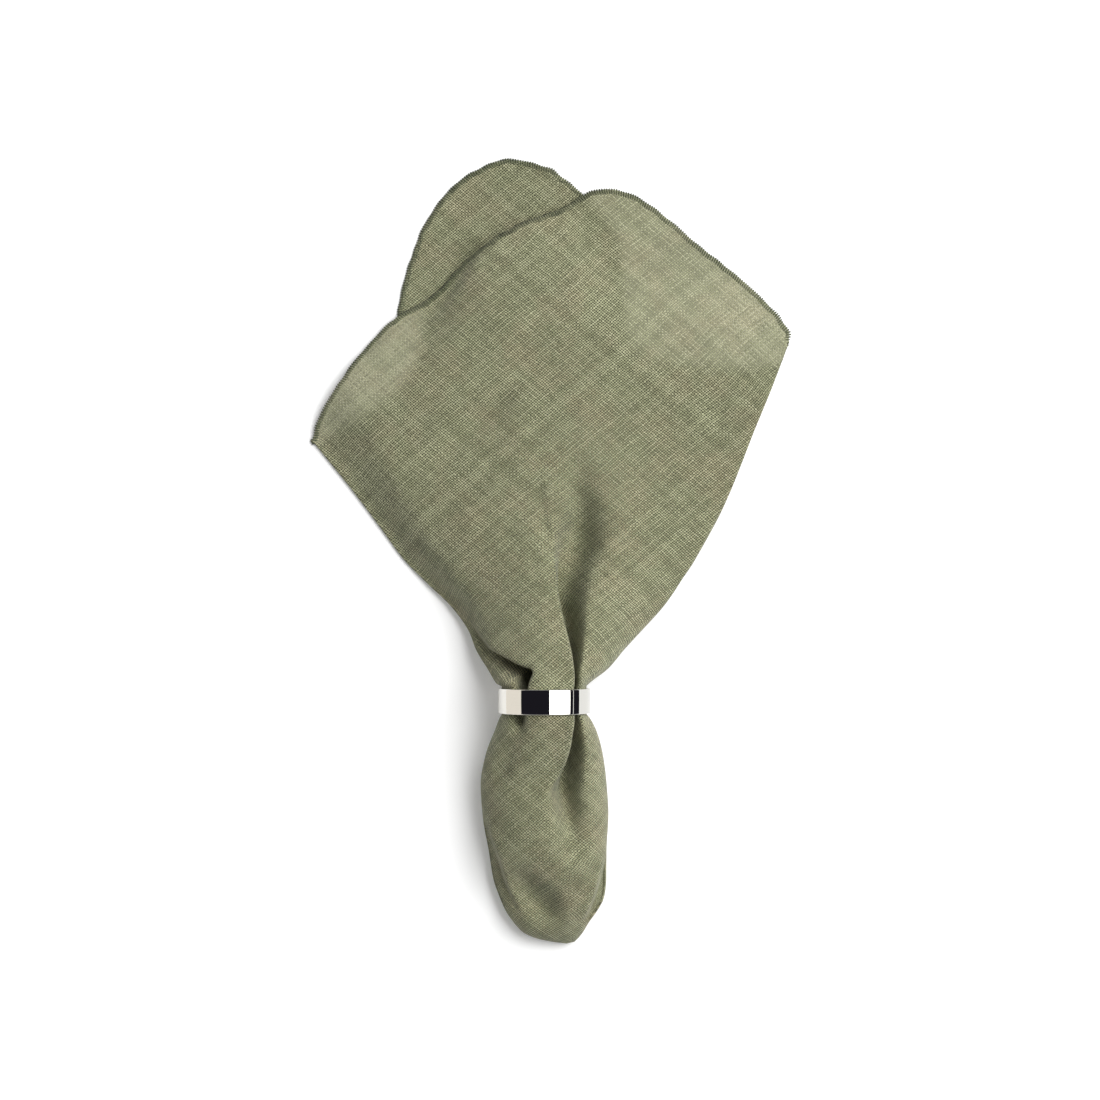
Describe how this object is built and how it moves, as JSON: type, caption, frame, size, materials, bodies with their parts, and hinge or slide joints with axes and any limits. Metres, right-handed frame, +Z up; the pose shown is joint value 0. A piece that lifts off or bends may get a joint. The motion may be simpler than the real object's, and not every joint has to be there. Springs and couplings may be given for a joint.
{
  "type": "linen napkin in a ring",
  "caption": "Square linen napkin held at its middle and drawn through a polished metal napkin ring, its sides fanned out above and its middle as a rounded tail below.",
  "frame": {"origin": "on the table under the middle of the whole object", "axes": "+Z up from the table, +Y from the tail through the ring to the open fan, +X to the right of the fan seen from above"},
  "size_m": [0.208, 0.3422, 0.04],
  "materials": {
    "linen": "plain weave, matt, sage green",
    "ring_metal": "mirror polished"
  },
  "bodies": {
    "root": {"napkin": "linen", "ring": "ring_metal"}
  },
  "joints": []
}
